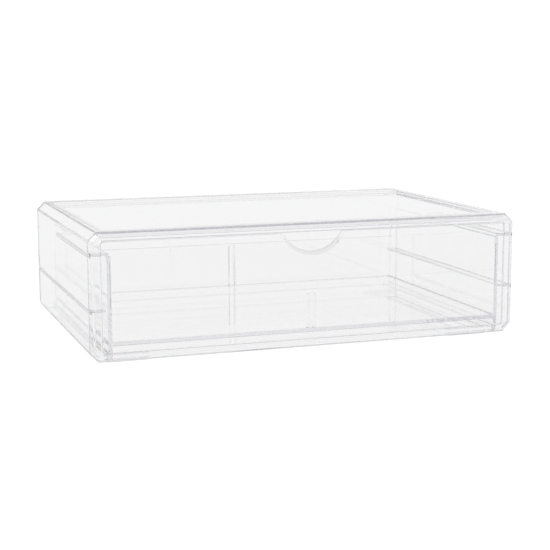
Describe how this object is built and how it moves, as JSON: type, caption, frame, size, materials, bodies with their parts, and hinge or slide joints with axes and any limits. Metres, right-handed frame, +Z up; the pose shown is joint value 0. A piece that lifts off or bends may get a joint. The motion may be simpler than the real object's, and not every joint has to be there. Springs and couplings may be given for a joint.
{
  "type": "desk organizer",
  "caption": "Clear stackable storage casing with chamfered edges, a dished top and a sliding drawer with a finger notch.",
  "frame": {"origin": "centre of the footprint, on the surface the feet stand on", "axes": "+X along the width, -Y towards the drawer front, +Z up"},
  "size_m": [0.406, 0.262, 0.1179],
  "materials": {
    "clear_case": "clear polished",
    "clear_drawer": "clear polished",
    "foot_plastic": "translucent satin"
  },
  "bodies": {
    "case": {"case_top_panel": "clear_case", "case_base_panel": "clear_case", "case_left_wall": "clear_case", "case_right_wall": "clear_case", "case_back_wall": "clear_case", "front_frame": "clear_case", "upper_guide_left": "clear_case", "upper_guide_right": "clear_case", "lower_guide_left": "clear_case", "lower_guide_right": "clear_case", "base_runner_left": "clear_case", "base_runner_right": "clear_case", "foot_front_left": "foot_plastic", "foot_front_right": "foot_plastic", "foot_rear_left": "foot_plastic", "foot_rear_right": "foot_plastic"},
    "drawer": {"drawer_front": "clear_drawer", "drawer_floor": "clear_drawer", "drawer_left_wall": "clear_drawer", "drawer_right_wall": "clear_drawer", "drawer_back_wall": "clear_drawer", "divider_rib_front_left": "clear_drawer", "divider_rib_front_right": "clear_drawer", "divider_rib_back_left": "clear_drawer", "divider_rib_back_right": "clear_drawer"}
  },
  "joints": [
    {"name": "drawer_slide", "type": "slide", "parent": "case", "child": "drawer", "axis": [0, -1, 0], "range_m": [0, 0.2]}
  ]
}
